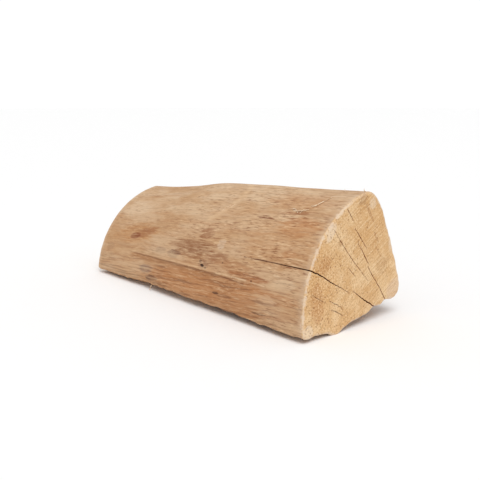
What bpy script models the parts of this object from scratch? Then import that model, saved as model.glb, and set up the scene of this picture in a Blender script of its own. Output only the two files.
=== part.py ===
"""Split firewood log: a debarked third of a round trunk, lying on its lower split face.

The shape is worked out about the trunk's pith, the line where the cracks of the sawn ends meet:
x runs along the pith, 0 at the near sawn end and negative towards the far one, y runs across, away
from the outer face, and z runs up. The finished log is then tilted as it lies and moved so that its
origin is under the middle of its box. Lengths are in metres.
"""

import math

import bpy
import numpy as np

LOG_LENGTH = 0.250
TRUNK_RADIUS = 0.096
PITH_SLOPE = math.radians(4.37)
FLOOR_AT_NEAR_END = 0.0007
FLOOR_RISE = math.tan(PITH_SLOPE)

# Round outer face: angles are taken about the pith, 90 degrees straight up, 180 towards the low edge.
CROWN_ANGLE = math.radians(106.0)
ROUNDEST_ANGLE = math.radians(133.0)
OUT_OF_ROUND = 0.0072
SWELLING = [(-0.250, 0.0002), (-0.235, -0.0003), (-0.190, 0.0007), (-0.145, 0.0038),
            (-0.100, 0.0028), (-0.050, 0.0009), (0.0, -0.0006)]
SWELL_FLANK = {"share": 0.25, "from": math.radians(150.0), "span": math.radians(42.0)}
LOW_ANGLE = math.radians(175.0)

# Ledges where a layer of wood tore off: (place along, place across) of the line's two ends, how deep
# the layer was and how wide its torn edge is. Across is an angle on the outer face, a height elsewhere.
OUTER_LEDGE = {"start": (-0.215, math.radians(153.0)), "end": (-0.022, math.radians(160.2)),
               "depth": 0.0010, "edge": math.radians(0.7)}
BACK_LEDGE = {"start": (-0.262, 0.034), "end": (-0.030, 0.052), "depth": 0.0022, "edge": 0.0030}
UNDER_LEDGE = {"start": (-0.228, -0.044), "end": (-0.035, -0.018), "depth": 0.0022, "edge": 0.0025}
LEDGE_FADE = 0.2

# Low edge, where the outer face meets the underside: height over the floor along the log.
LOW_EDGE_GAP = [(-0.250, 0.0030), (-0.234, 0.0042), (-0.150, 0.0046), (-0.070, 0.0043),
                (-0.045, 0.0030), (-0.020, 0.0026), (0.0, 0.0040)]
LOW_EDGE_ROUNDING = 0.0025

# Back split face: its top and its foot at the near end, and how far the foot moves by the far end.
BACK_TOP = (-0.0042, 0.0685)
BACK_FOOT = (0.0095, 0.0260)
BACK_FOOT_SHIFT = (0.0030, 0.0080)
CROWN_REACH = 0.0135
HEEL_TIP = (0.0128, 0.0142)
HEEL_TIP_SHIFT = (0.0055, 0.0085)
HEEL_END = (0.0, 0.0122)
HEEL_END_SHIFT = (0.0040, 0.0072)
BACK_BOW = {"depth": 0.0016, "turns": 1.1, "phase": 0.6}

# Underside: height over the floor across the log, at its two ends. What dips under the floor is
# trimmed flat, which gives the three low spots that the log rests on.
UNDERSIDE_NEAR = [(-0.0873, 0.0024), (-0.0800, 0.0031), (-0.0700, 0.0022), (-0.0606, -0.0007),
                  (-0.0520, 0.0022), (-0.0430, 0.0046), (-0.0320, 0.0060), (-0.0250, 0.0076),
                  (-0.0198, 0.0098), (-0.0120, 0.0102), (-0.0076, 0.0124), (0.0, 0.0115)]
UNDERSIDE_FAR = [(-0.0873, 0.0026), (-0.0800, 0.0012), (-0.0720, -0.0006), (-0.0640, 0.0010),
                 (-0.0520, 0.0032), (-0.0380, 0.0042), (-0.0240, 0.0030), (-0.0120, 0.0012),
                 (-0.0030, -0.0005), (0.0040, -0.0006)]
UNDERSIDE_HOLLOW = 0.0022
PAD_REACH = 0.030

# Ridges of torn grain on the split faces: wave lengths across the face, and how they wander along it.
RIDGES = {"height": 0.0005, "pitch": 0.0146, "fine_pitch": 0.0069, "fine_share": 0.6, "slant": 0.02,
          "wander": 0.0015, "wander_length": 0.45, "swell": 0.3, "swell_length": 0.20}
UNDER_PHASE = 1.3
BACK_PHASE = 4.0
RIM_ROUNDING = 0.0018

# Points along each stretch of the outline, and rows of points along the log.
STRETCHES = {"outer": 30, "crown": 8, "back": 13, "heel": 6, "under": 30, "toe": 4}
ROWS = 27
RIM_ROWS = 3

# Drying cracks: points across the end face from rim to heart, each with its half width, and how far
# each point's crack runs into the log.
CRACKS_NEAR = {
    "crack_outer": [(-0.0885, 0.0495, 0.00062, 0.078), (-0.0740, 0.0417, 0.00058, 0.052),
                    (-0.0637, 0.0354, 0.00040, 0.034), (-0.0475, 0.0264, 0.00012, 0.018)],
    "crack_inner": [(-0.0423, 0.0261, 0.00012, 0.014), (-0.0366, 0.0216, 0.00040, 0.026),
                    (-0.0281, 0.0161, 0.00052, 0.036), (-0.0140, 0.0070, 0.00062, 0.044)],
    "crack_crown": [(-0.0461, 0.0812, 0.00014, 0.008), (-0.0432, 0.0775, 0.00036, 0.016),
                    (-0.0398, 0.0721, 0.00012, 0.012)],
    "crack_middle": [(-0.0389, 0.0677, 0.00016, 0.014), (-0.0329, 0.0602, 0.00034, 0.022),
                     (-0.0267, 0.0526, 0.00014, 0.014)],
    "crack_heart": [(-0.0302, 0.0488, 0.00014, 0.014), (-0.0261, 0.0401, 0.00032, 0.022),
                    (-0.0133, 0.0228, 0.00030, 0.024), (-0.0045, 0.0085, 0.00040, 0.028)],
    "crack_fine": [(-0.0594, 0.0692, 0.00012, 0.010), (-0.0526, 0.0595, 0.00026, 0.018),
                   (-0.0419, 0.0467, 0.00024, 0.018), (-0.0262, 0.0304, 0.00012, 0.010)],
}
CRACKS_FAR = {
    "crack_far_outer": [(-0.0705, 0.0580, 0.00014, 0.014), (-0.0600, 0.0495, 0.00042, 0.026),
                        (-0.0480, 0.0390, 0.00014, 0.016)],
    "crack_far_heart": [(-0.0440, 0.0380, 0.00014, 0.014), (-0.0310, 0.0270, 0.00036, 0.024),
                        (-0.0170, 0.0140, 0.00046, 0.034)],
    "crack_far_crown": [(-0.0280, 0.0800, 0.00012, 0.012), (-0.0230, 0.0650, 0.00034, 0.024),
                        (-0.0150, 0.0450, 0.00014, 0.012)],
}
CRACK_OVERSHOOT = 0.004
CRACK_TWIST = 0.62

WOOD_COLOUR = (0.52, 0.34, 0.18, 1.0)
WOOD_ROUGHNESS = 0.78
SHARP_ANGLE = math.radians(35.0)
TRIM_BLOCK = (2 * LOG_LENGTH, LOG_LENGTH, 0.02)


def curve_through(points, at):
    """Smooth curve through (place, value) points: a cubic between each two, sloped as its neighbours."""
    place, value = np.array(points, float).T
    slope = np.gradient(value, place)
    at = np.clip(at, place[0], place[-1])
    step = np.clip(np.searchsorted(place, at, side="right") - 1, 0, len(place) - 2)
    span = place[step + 1] - place[step]
    t = (at - place[step]) / span
    start, end = value[step], value[step + 1]
    leave, arrive = slope[step] * span, slope[step + 1] * span
    bend = 3 * (end - start) - 2 * leave - arrive
    return start + leave * t + bend * t**2 + (2 * (start - end) + leave + arrive) * t**3


def ease(t):
    """0 to 1 with level ends."""
    t = np.clip(t, 0.0, 1.0)
    return t * t * (3 - 2 * t)


def floor_height(x):
    """Height of the floor over the pith's line, which drops towards it at the far end."""
    return FLOOR_AT_NEAR_END - FLOOR_RISE * x


def torn(ledge, across, x):
    """Depth of a torn-off layer: nothing before the ledge's line, full past it, fading at both ends."""
    (x0, across0), (x1, across1) = ledge["start"], ledge["end"]
    t = (x - x0) / (x1 - x0)
    line = across0 + (across1 - across0) * t
    fade = ease(t / LEDGE_FADE) * ease((1 - t) / LEDGE_FADE)
    return ledge["depth"] * fade * ease((across - line) / ledge["edge"])


def wave(place, length, phase):
    return np.sin(2 * math.pi * place / length + phase)


def ridges(across, x, phase):
    """Low ridges of torn grain: waves across the face that drift a little along it."""
    drift = RIDGES["slant"] * x + RIDGES["wander"] * wave(x, RIDGES["wander_length"], phase)
    coarse = wave(across + drift, RIDGES["pitch"], phase)
    fine = wave(across + drift / 2, RIDGES["fine_pitch"], 2 * phase)
    swell = 1 + RIDGES["swell"] * (wave(x, RIDGES["swell_length"], phase) - 1)
    return RIDGES["height"] * swell * (coarse + RIDGES["fine_share"] * fine)


def outer_radius(angle, x):
    """Pith to outer face: a slightly flattened round, swollen at mid length near the crown."""
    off = angle - ROUNDEST_ANGLE
    crown = ease((SWELL_FLANK["from"] - angle) / SWELL_FLANK["span"])
    swell = curve_through(SWELLING, x) * (SWELL_FLANK["share"] + (1 - SWELL_FLANK["share"]) * crown)
    return TRUNK_RADIUS - OUT_OF_ROUND * off**2 + swell - torn(OUTER_LEDGE, angle, x)


def outer_point(angle, x):
    radius = outer_radius(angle, x)
    return np.stack([radius * np.cos(angle), radius * np.sin(angle)], -1)


def along_log(near, shift, x):
    """A corner of the outline that moves evenly from its near place by shift at the far end."""
    return np.array(near) + np.array(shift) * (-x[..., None] / LOG_LENGTH)


def rounded(start, tip, end, t):
    """Corner rounded by a parabola from start to end that aims at tip."""
    t = t[..., None]
    return (1 - t) ** 2 * start + 2 * t * (1 - t) * tip + t**2 * end


def underside_height(across, x):
    """Height of the underside over the floor: near profile into far profile, hollow between them."""
    t = -x / LOG_LENGTH
    near = curve_through(UNDERSIDE_NEAR, across)
    far = curve_through(UNDERSIDE_FAR, across)
    middle = np.sin(math.pi * t)
    pads = ease((PAD_REACH + x) / PAD_REACH) + ease((PAD_REACH - x - LOG_LENGTH) / PAD_REACH)
    relief = ridges(across, x, UNDER_PHASE) * (1 - pads) + torn(UNDER_LEDGE, across, x)
    return near + (far - near) * ease(t) + UNDERSIDE_HOLLOW * middle + relief


def low_corner(x):
    """Where the outer face ends, just over the low edge, as an angle about the pith."""
    height = floor_height(x) + curve_through(LOW_EDGE_GAP, x) + LOW_EDGE_ROUNDING
    return math.pi - np.arcsin(height / outer_radius(LOW_ANGLE, x))


def outline(x):
    """Closed outline of the log square to the pith at each x, as rows of (y, z) points."""
    x = np.asarray(x, float)[:, None]

    def steps(name):
        count = STRETCHES[name]
        return np.arange(count)[None, :] / count + 0 * x

    low = low_corner(x)
    crown_start = outer_point(CROWN_ANGLE + 0 * x, x)
    back_top = along_log(BACK_TOP, (0.0, 0.0), x)
    tangent = np.array([math.sin(CROWN_ANGLE), -math.cos(CROWN_ANGLE)])
    back_foot = along_log(BACK_FOOT, BACK_FOOT_SHIFT, x)
    heel_end = along_log(HEEL_END, HEEL_END_SHIFT, x)
    heel_end[..., 1] = underside_height(heel_end[..., 0], x) + floor_height(x)

    outer = outer_point(low + (CROWN_ANGLE - low) * steps("outer"), x)
    crown = rounded(crown_start, crown_start + CROWN_REACH * tangent, back_top, steps("crown"))
    t = steps("back")
    back = back_top + (back_foot - back_top) * t[..., None]
    bow = BACK_BOW["depth"] * wave(x, LOG_LENGTH / BACK_BOW["turns"], BACK_BOW["phase"])
    relief = bow + ridges(back[..., 1], x, BACK_PHASE) - torn(BACK_LEDGE, back[..., 1], x)
    back[..., 0] += relief * np.sin(math.pi * t)
    heel = rounded(back_foot, along_log(HEEL_TIP, HEEL_TIP_SHIFT, x), heel_end, steps("heel"))

    toe_start = UNDERSIDE_NEAR[0][0]
    across = heel_end[..., 0] + (toe_start - heel_end[..., 0]) * steps("under")
    under = np.stack([across, underside_height(across, x) + floor_height(x)], -1)
    toe_from = np.stack([toe_start + 0 * x, underside_height(toe_start, x) + floor_height(x)], -1)
    toe_to = outer_point(low, x)
    tip = np.stack([toe_to[..., 0], toe_from[..., 1]], -1)
    toe = rounded(toe_from, tip, toe_to, steps("toe"))
    return np.concatenate([outer, crown, back, heel, under, toe], 1)


def inset(points, depth):
    """Each outline row moved inwards by its depth, square to the outline."""
    run = np.roll(points, -1, 1) - np.roll(points, 1, 1)
    run /= np.linalg.norm(run, axis=-1, keepdims=True)
    inwards = np.stack([run[..., 1], -run[..., 0]], -1)
    return points + inwards * depth[:, None, None]


def rows_along():
    """Places of the outline rows and how far each is drawn in where the rims are rounded."""
    turn = np.linspace(0, math.pi / 2, RIM_ROWS + 1)
    rim_back = RIM_ROUNDING * (1 - np.sin(turn))
    rim_in = RIM_ROUNDING * (1 - np.cos(turn))
    body = np.linspace(RIM_ROUNDING, LOG_LENGTH - RIM_ROUNDING, ROWS)
    x = -np.concatenate([rim_back[::-1], body[1:-1], LOG_LENGTH - rim_back])
    depth = np.concatenate([rim_in[::-1], 0 * body[1:-1], rim_in])
    return x, depth


def settle(points):
    """Trunk frame to the log as it lies: tilted by the pith's slope, floor at zero height."""
    cos, sin = math.cos(PITH_SLOPE), math.sin(PITH_SLOPE)
    x = cos * points[..., 0] - sin * points[..., 2]
    z = sin * points[..., 0] + cos * (points[..., 2] - FLOOR_AT_NEAR_END)
    return np.stack([x, points[..., 1], z], -1)


def mesh_object(name, points, faces, collection):
    mesh = bpy.data.meshes.new(name)
    mesh.from_pydata(points.tolist(), [], faces)
    mesh.validate()
    obj = bpy.data.objects.new(name, mesh)
    collection.objects.link(obj)
    return obj


def new_collection(name):
    collection = bpy.data.collections.new(name)
    bpy.context.scene.collection.children.link(collection)
    return collection


def log_points():
    x, depth = rows_along()
    section = inset(outline(x), depth)
    along = np.repeat(x[:, None], section.shape[1], 1)
    return np.concatenate([along[..., None], section], -1)


def build_log(collection, offset):
    """Loft through the outlines, closed by the two flat sawn ends."""
    points = settle(log_points()) + offset
    rows, count = points.shape[:2]
    faces = []
    for row in range(rows - 1):
        for i in range(count):
            j = (i + 1) % count
            a, b = row * count, (row + 1) * count
            faces.append((a + i, a + j, b + j, b + i))
    faces.append(tuple(range(count))[::-1])
    faces.append(tuple(range((rows - 1) * count, rows * count)))
    return mesh_object("log", points.reshape(-1, 3), faces, collection)


def build_crack(name, crack, end_x, inwards, collection, offset):
    """Wedge that is as wide as the crack at the end face and closes to an edge inside the log."""
    y, z, half, run = np.array(crack).T
    path = np.stack([y, z], -1)
    direction = np.gradient(path, axis=0)
    direction /= np.linalg.norm(direction, axis=1, keepdims=True)
    side = np.stack([-direction[:, 1], direction[:, 0]], -1) * half[:, None]
    mouth_x = np.full(len(y), end_x - inwards * CRACK_OVERSHOOT)
    widen = 1 + CRACK_OVERSHOOT / run[:, None]
    turn = CRACK_TWIST * run * inwards
    cos, sin = np.cos(turn), np.sin(turn)
    tip = np.stack([end_x + inwards * run, cos * y - sin * z, sin * y + cos * z], -1)
    left = np.column_stack([mouth_x, path + side * widen])
    right = np.column_stack([mouth_x, path - side * widen])
    count = len(y)
    points = settle(np.concatenate([left, right, tip])) + offset
    faces = []
    for i in range(count - 1):
        faces.append((i, i + 1, count + i + 1, count + i))
        faces.append((i, 2 * count + i, 2 * count + i + 1, i + 1))
        faces.append((count + i, count + i + 1, 2 * count + i + 1, 2 * count + i))
    faces.append((0, count, 2 * count))
    faces.append((count - 1, 3 * count - 1, 2 * count - 1))
    return mesh_object(name, points, outward(points, faces), collection)


def outward(points, faces):
    """The faces as given, or all turned round if they enclose a negative volume."""
    volume = 0.0
    for face in faces:
        for a, b in zip(face[1:-1], face[2:]):
            volume += np.dot(points[face[0]], np.cross(points[a], points[b]))
    return faces if volume > 0 else [face[::-1] for face in faces]


def build_floor_trim(collection):
    """Block whose top is the floor: it trims the three low spots flat."""
    bpy.ops.mesh.primitive_cube_add(size=1.0)
    block = bpy.context.object
    block.name = "floor_trim"
    block.scale = TRIM_BLOCK
    block.location = (0.0, 0.0, -TRIM_BLOCK[2] / 2)
    for owner in list(block.users_collection):
        owner.objects.unlink(block)
    collection.objects.link(block)
    return block


def wood_material():
    material = bpy.data.materials.new("debarked_wood")
    material.use_nodes = True
    shader = material.node_tree.nodes["Principled BSDF"]
    shader.inputs["Base Color"].default_value = WOOD_COLOUR
    shader.inputs["Roughness"].default_value = WOOD_ROUGHNESS
    shader.inputs["Metallic"].default_value = 0.0
    material.diffuse_color = WOOD_COLOUR
    return material


def main():
    for obj in list(bpy.data.objects):
        bpy.data.objects.remove(obj)
    solids = new_collection("firewood_log")
    cutters = new_collection("cutters")

    lying = settle(log_points())
    low, high = lying.min((0, 1)), lying.max((0, 1))
    offset = np.array([-(low[0] + high[0]) / 2, -(low[1] + high[1]) / 2, 0.0])

    log = build_log(solids, offset)
    log.data.materials.append(wood_material())
    for name, crack in CRACKS_NEAR.items():
        build_crack(name, crack, 0.0, -1.0, cutters, offset)
    for name, crack in CRACKS_FAR.items():
        build_crack(name, crack, -LOG_LENGTH, 1.0, cutters, offset)
    build_floor_trim(cutters)
    for cutter in cutters.objects:
        cutter.hide_render = True
        cutter.display_type = "WIRE"

    cut = log.modifiers.new("cracks_and_flats", "BOOLEAN")
    cut.operation = "DIFFERENCE"
    cut.solver = "EXACT"
    cut.operand_type = "COLLECTION"
    cut.collection = cutters
    log.data.shade_smooth()
    log.data.set_sharp_from_angle(angle=SHARP_ANGLE)


main()
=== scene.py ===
import math

import bpy
import numpy as np
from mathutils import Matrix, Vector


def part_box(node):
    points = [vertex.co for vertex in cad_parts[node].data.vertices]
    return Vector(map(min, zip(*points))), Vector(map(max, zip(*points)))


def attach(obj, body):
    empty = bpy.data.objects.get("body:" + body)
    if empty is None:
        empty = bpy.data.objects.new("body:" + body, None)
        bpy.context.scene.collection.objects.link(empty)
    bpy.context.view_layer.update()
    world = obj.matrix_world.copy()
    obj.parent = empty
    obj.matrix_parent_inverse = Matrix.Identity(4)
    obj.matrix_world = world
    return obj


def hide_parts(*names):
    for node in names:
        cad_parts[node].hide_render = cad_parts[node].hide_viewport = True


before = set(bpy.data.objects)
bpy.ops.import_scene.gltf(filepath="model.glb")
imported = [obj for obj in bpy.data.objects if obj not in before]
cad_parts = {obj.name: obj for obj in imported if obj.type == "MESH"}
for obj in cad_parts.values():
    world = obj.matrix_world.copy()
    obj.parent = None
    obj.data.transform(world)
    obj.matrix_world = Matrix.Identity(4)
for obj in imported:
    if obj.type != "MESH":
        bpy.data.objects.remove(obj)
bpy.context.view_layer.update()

# Lengths are in metres. The log is worked out about the trunk's pith: x runs along the pith, 0 at the
# near sawn end and negative towards the far one, y runs across, away from the outer face, z runs up.
# Angles are taken about the pith, 90 degrees straight up and 180 towards the low edge.

logShape = {
    "length": 0.25,
    "trunkRadius": 0.096,
    "pithSlope": math.radians(4.37),          # the pith drops towards the far end as the log lies
    "floorAtNearEnd": 0.0007,
    "crownAngle": math.radians(106.0),        # where the outer face turns into the crown
    "roundestAngle": math.radians(133.0),
    "outOfRound": 0.0072,
    "swelling": [(-0.25, 0.0002), (-0.235, -0.0003), (-0.19, 0.0007), (-0.145, 0.0038),
                 (-0.1, 0.0028), (-0.05, 0.0009), (0.0, -0.0006)],
    "swellShare": 0.25,                       # of the swelling, on the flank
    "swellFlank": (math.radians(150.0), math.radians(42.0)),
    "lowAngle": math.radians(175.0),
    "lowEdgeGap": [(-0.25, 0.003), (-0.234, 0.0042), (-0.15, 0.0046), (-0.07, 0.0043),
                   (-0.045, 0.003), (-0.02, 0.0026), (0.0, 0.004)],
    "lowEdgeRounding": 0.0025,
    "backTop": (-0.0042, 0.0685),
    "backFoot": ((0.0095, 0.026), (0.003, 0.008)),     # near end, and its move by the far end
    "crownReach": 0.0135,
    "heelTip": ((0.0128, 0.0142), (0.0055, 0.0085)),
    "heelEnd": ((0.0, 0.0122), (0.004, 0.0072)),
    "backBow": (0.0016, 1.1, 0.6),            # depth, turns along the log, phase
    "undersideNear": [(-0.0873, 0.0024), (-0.08, 0.0031), (-0.07, 0.0022), (-0.0606, -0.0007),
                      (-0.052, 0.0022), (-0.043, 0.0046), (-0.032, 0.006), (-0.025, 0.0076),
                      (-0.0198, 0.0098), (-0.012, 0.0102), (-0.0076, 0.0124), (0.0, 0.0115)],
    "undersideFar": [(-0.0873, 0.0026), (-0.08, 0.0012), (-0.072, -0.0006), (-0.064, 0.001),
                     (-0.052, 0.0032), (-0.038, 0.0042), (-0.024, 0.003), (-0.012, 0.0012),
                     (-0.003, -0.0005), (0.004, -0.0006)],
    "undersideHollow": 0.0022,
    "padReach": 0.03,
    "underPhase": 1.3,
    "backPhase": 4.0,
    "rimRounding": 0.0018,
}
# Ledges where a layer tore off: the line's two ends as (along, across), depth and width of its edge.
ledges = {
    "outer": {"start": (-0.215, math.radians(153.0)), "end": (-0.022, math.radians(160.2)),
              "depth": 0.0010, "edge": math.radians(0.7)},
    "back": {"start": (-0.262, 0.034), "end": (-0.030, 0.052), "depth": 0.0022, "edge": 0.0030},
    "under": {"start": (-0.228, -0.044), "end": (-0.035, -0.018), "depth": 0.0022, "edge": 0.0025},
    "fade": 0.2,
}
ridges = {"height": 0.0005, "pitch": 0.0146, "finePitch": 0.0069, "fineShare": 0.6, "slant": 0.02,
          "wander": 0.0015, "wanderLength": 0.45, "swell": 0.3, "swellLength": 0.20}
logMesh = {
    "stretches": {"outer": 240, "crown": 36, "back": 124, "heel": 28, "under": 154, "toe": 18},
    "bodyRows": 118,
    "rimRows": 5,
    "rimFade": 0.0012,
    "ringSteps": [0.0009, 0.0022, 0.0045, 0.0080, 0.0130, 0.0200, 0.0280, 0.0360],
    "splitShare": {"crown": (-0.6, 1.2), "back": (1, 1), "heel": (1, 1), "under": (1, 1), "toe": (1, 0)},
    "ringReach": 0.8,                  # the innermost ring keeps a fifth of the way to the middle
    "endMiddle": (-0.038, 0.042),
    "farMiddle": (-0.036, 0.052),
}
# Relief of the surface: strip width across the grain, its length along it, height on the debarked
# outer face and height on the split faces.
relief = {
    "strips": [
        {"width": 0.0015, "length": 0.020, "outer": 0.00009, "split": 0.00016},       # fibres
        {"width": 0.0042, "length": 0.055, "outer": 0.00020, "split": 0.00050},       # strands
        {"width": 0.0150, "length": 0.030, "outer": 0.00030, "split": 0.00020},       # dents
    ],
    "crestScale": 0.0014,              # height that counts as 1 in the split faces' colour, with painted shade in hollows and highlight on crests
    "endFade": 0.004,                  # it grows lower this near the sawn ends
    "endShare": 0.35,                  # and keeps this share there
    "seed": 11,
}
frayed = {"width": 0.0024, "length": 0.005, "height": 0.0005, "seed": 23}   # low edge and heel
# Torn crests of the split faces: distance between them, length, height, and fading at the sawn ends.
splinterRidges = {
    "coarse": {"width": 0.0062, "length": 0.085, "height": 0.0010},
    "sharp": {"width": 0.0028, "length": 0.045, "height": 0.0005},
    "fade": 0.020,
    "slant": 6.0,                      # widths that a crest drifts across, for each metre along
    "top": 0.7,                        # of the height, how far crests stand out and the whole relief
    "range": 2.0,
    "seed": 20,
}
rimChips = {"count": 90, "share": 0.35, "seed": 31}
sawnFace = {"height": 0.00012, "across": 0.009, "up": 0.007, "repeat": 64, "seed": 41}
latticeRows = 97
latticeStart = 40                      # where on the lattice the near sawn end lies


def curveThrough(points, at):          # cubic between each two points, sloped as its neighbours
    place, value = np.array(points, float).T
    slope = np.gradient(value, place)
    at = np.clip(at, place[0], place[-1])
    step = np.clip(np.searchsorted(place, at, side="right") - 1, 0, len(place) - 2)
    span = place[step + 1] - place[step]
    t = (at - place[step]) / span
    start, end = value[step], value[step + 1]
    leave, arrive = slope[step] * span, slope[step + 1] * span
    bend = 3 * (end - start) - 2 * leave - arrive
    return start + leave * t + bend * t**2 + (2 * (start - end) + leave + arrive) * t**3


def ease(t):                           # 0 to 1 with level ends
    t = np.clip(t, 0.0, 1.0)
    return t * t * (3 - 2 * t)


def wave(place, length, phase):
    return np.sin(2 * math.pi * place / length + phase)


def patchNoise(a, b, period, seed):
    # Random values from -1 to 1 on a square lattice, eased between its points; b repeats after period.
    table = np.random.default_rng(seed).uniform(-1, 1, (latticeRows, period))
    lowA, lowB = np.floor(a).astype(int), np.floor(b).astype(int)
    ta, tb = ease(a - lowA), ease(b - lowB)
    rowA, rowB = lowA % latticeRows, (lowA + 1) % latticeRows
    colA, colB = lowB % period, (lowB + 1) % period
    near = table[rowA, colA] * (1 - tb) + table[rowA, colB] * tb
    far = table[rowB, colA] * (1 - tb) + table[rowB, colB] * tb
    return near * (1 - ta) + far * ta


def floorHeight(x):
    return logShape["floorAtNearEnd"] - math.tan(logShape["pithSlope"]) * x


def tornLayer(ledge, across, x):
    # Depth of a torn-off layer: nothing before the line, full past it, fading at both of its ends.
    (x0, across0), (x1, across1) = ledge["start"], ledge["end"]
    t = (x - x0) / (x1 - x0)
    line = across0 + (across1 - across0) * t
    fade = ease(t / ledges["fade"]) * ease((1 - t) / ledges["fade"])
    return ledge["depth"] * fade * ease((across - line) / ledge["edge"])


def ridgeRelief(across, x, phase):
    # Two sine waves across the face, whose crests slant and wander a little along it.
    drift = ridges["slant"] * x + ridges["wander"] * wave(x, ridges["wanderLength"], phase)
    coarse = wave(across + drift, ridges["pitch"], phase)
    fine = wave(across + drift / 2, ridges["finePitch"], 2 * phase)
    swell = 1 + ridges["swell"] * (wave(x, ridges["swellLength"], phase) - 1)
    return ridges["height"] * swell * (coarse + ridges["fineShare"] * fine)


def outerRadius(angle, x):
    # A circle about the pith, flattened by the square of the angle from its roundest place, swollen
    # at mid length towards the crown, and lower past the ledge.
    start, span = logShape["swellFlank"]
    share = logShape["swellShare"]
    swell = curveThrough(logShape["swelling"], x) * (share + (1 - share) * ease((start - angle) / span))
    flat = logShape["outOfRound"] * (angle - logShape["roundestAngle"])**2
    return logShape["trunkRadius"] - flat + swell - tornLayer(ledges["outer"], angle, x)


def outerPoint(angle, x):
    radius = outerRadius(angle, x)
    return np.stack([radius * np.cos(angle), radius * np.sin(angle)], -1)


def alongLog(nearAndMove, x):
    near, move = np.array(nearAndMove)
    return near - move * x[..., None] / logShape["length"]


def roundedCorner(start, tip, end, t):         # a parabola from start to end that aims at tip
    t = t[..., None]
    return (1 - t)**2 * start + 2 * t * (1 - t) * tip + t**2 * end


def undersideHeight(across, x):
    # Height over the floor: the near profile eased into the far one, hollow between them, with ridges
    # that fade out where the log rests.
    t = -x / logShape["length"]
    near = curveThrough(logShape["undersideNear"], across)
    far = curveThrough(logShape["undersideFar"], across)
    reach = logShape["padReach"]
    pads = ease((reach + x) / reach) + ease((reach - x - logShape["length"]) / reach)
    bumps = ridgeRelief(across, x, logShape["underPhase"]) * (1 - pads)
    bumps = bumps + tornLayer(ledges["under"], across, x)
    return near + (far - near) * ease(t) + logShape["undersideHollow"] * np.sin(math.pi * t) + bumps


def logOutline(x):
    # Closed outline square to the pith at each x: outer face, crown, back, heel, underside and toe,
    # one after another, each a function of its own parameter from 0 to 1.
    x = np.asarray(x, float)[:, None]
    steps = {}
    for name, count in logMesh["stretches"].items():
        steps[name] = np.arange(count)[None, :] / count + 0 * x
    crownAngle = logShape["crownAngle"]
    height = floorHeight(x) + curveThrough(logShape["lowEdgeGap"], x) + logShape["lowEdgeRounding"]
    low = math.pi - np.arcsin(height / outerRadius(logShape["lowAngle"], x))
    crownStart = outerPoint(crownAngle + 0 * x, x)
    tangent = np.array([math.sin(crownAngle), -math.cos(crownAngle)])
    backTop = np.array(logShape["backTop"]) + 0 * x[..., None]
    backFoot = alongLog(logShape["backFoot"], x)
    heelEnd = alongLog(logShape["heelEnd"], x)
    heelEnd[..., 1] = undersideHeight(heelEnd[..., 0], x) + floorHeight(x)

    outer = outerPoint(low + (crownAngle - low) * steps["outer"], x)
    crownTip = crownStart + logShape["crownReach"] * tangent
    crown = roundedCorner(crownStart, crownTip, backTop, steps["crown"])
    t = steps["back"]
    back = backTop + (backFoot - backTop) * t[..., None]
    depth, turns, phase = logShape["backBow"]
    bumps = depth * wave(x, logShape["length"] / turns, phase)
    bumps = bumps + ridgeRelief(back[..., 1], x, logShape["backPhase"])
    bumps = bumps - tornLayer(ledges["back"], back[..., 1], x)
    back[..., 0] += bumps * np.sin(math.pi * t)
    heel = roundedCorner(backFoot, alongLog(logShape["heelTip"], x), heelEnd, steps["heel"])

    toeStart = logShape["undersideNear"][0][0]
    across = heelEnd[..., 0] + (toeStart - heelEnd[..., 0]) * steps["under"]
    under = np.stack([across, undersideHeight(across, x) + floorHeight(x)], -1)
    toeFrom = np.stack([toeStart + 0 * x, undersideHeight(toeStart, x) + floorHeight(x)], -1)
    toeTo = outerPoint(low, x)
    toe = roundedCorner(toeFrom, np.stack([toeTo[..., 0], toeFrom[..., 1]], -1), toeTo, steps["toe"])
    return np.concatenate([outer, crown, back, heel, under, toe], 1)


def unit(vectors):
    return vectors / np.linalg.norm(vectors, axis=-1, keepdims=True)


def inwards(points):                   # unit vectors into the log, square to the outline
    run = unit(np.roll(points, -1, 1) - np.roll(points, 1, 1))
    return np.stack([run[..., 1], -run[..., 0]], -1)


def settle(points):                    # trunk frame to the log as it lies, floor at zero height
    cos, sin = math.cos(logShape["pithSlope"]), math.sin(logShape["pithSlope"])
    x = cos * points[..., 0] - sin * points[..., 2]
    z = sin * points[..., 0] + cos * (points[..., 2] - logShape["floorAtNearEnd"])
    return np.stack([x, points[..., 1], z], -1)


def stretchShare(shares):
    # Even change from start to end of each stretch, held between 0 and 1, and 0 where none is named.
    parts = []
    for name, count in logMesh["stretches"].items():
        start, end = shares.get(name, (0.0, 0.0))
        parts.append(np.linspace(start, end, count))
    return np.clip(np.concatenate(parts), 0, 1)


def blurRound(values, reach):          # evens a closed row of values over reach points each way
    kernel = np.hanning(2 * reach + 3)[1:-1]
    padded = np.concatenate([values[-reach:], values, values[:reach]])
    return np.convolve(padded, kernel / kernel.sum(), "valid")


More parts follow.
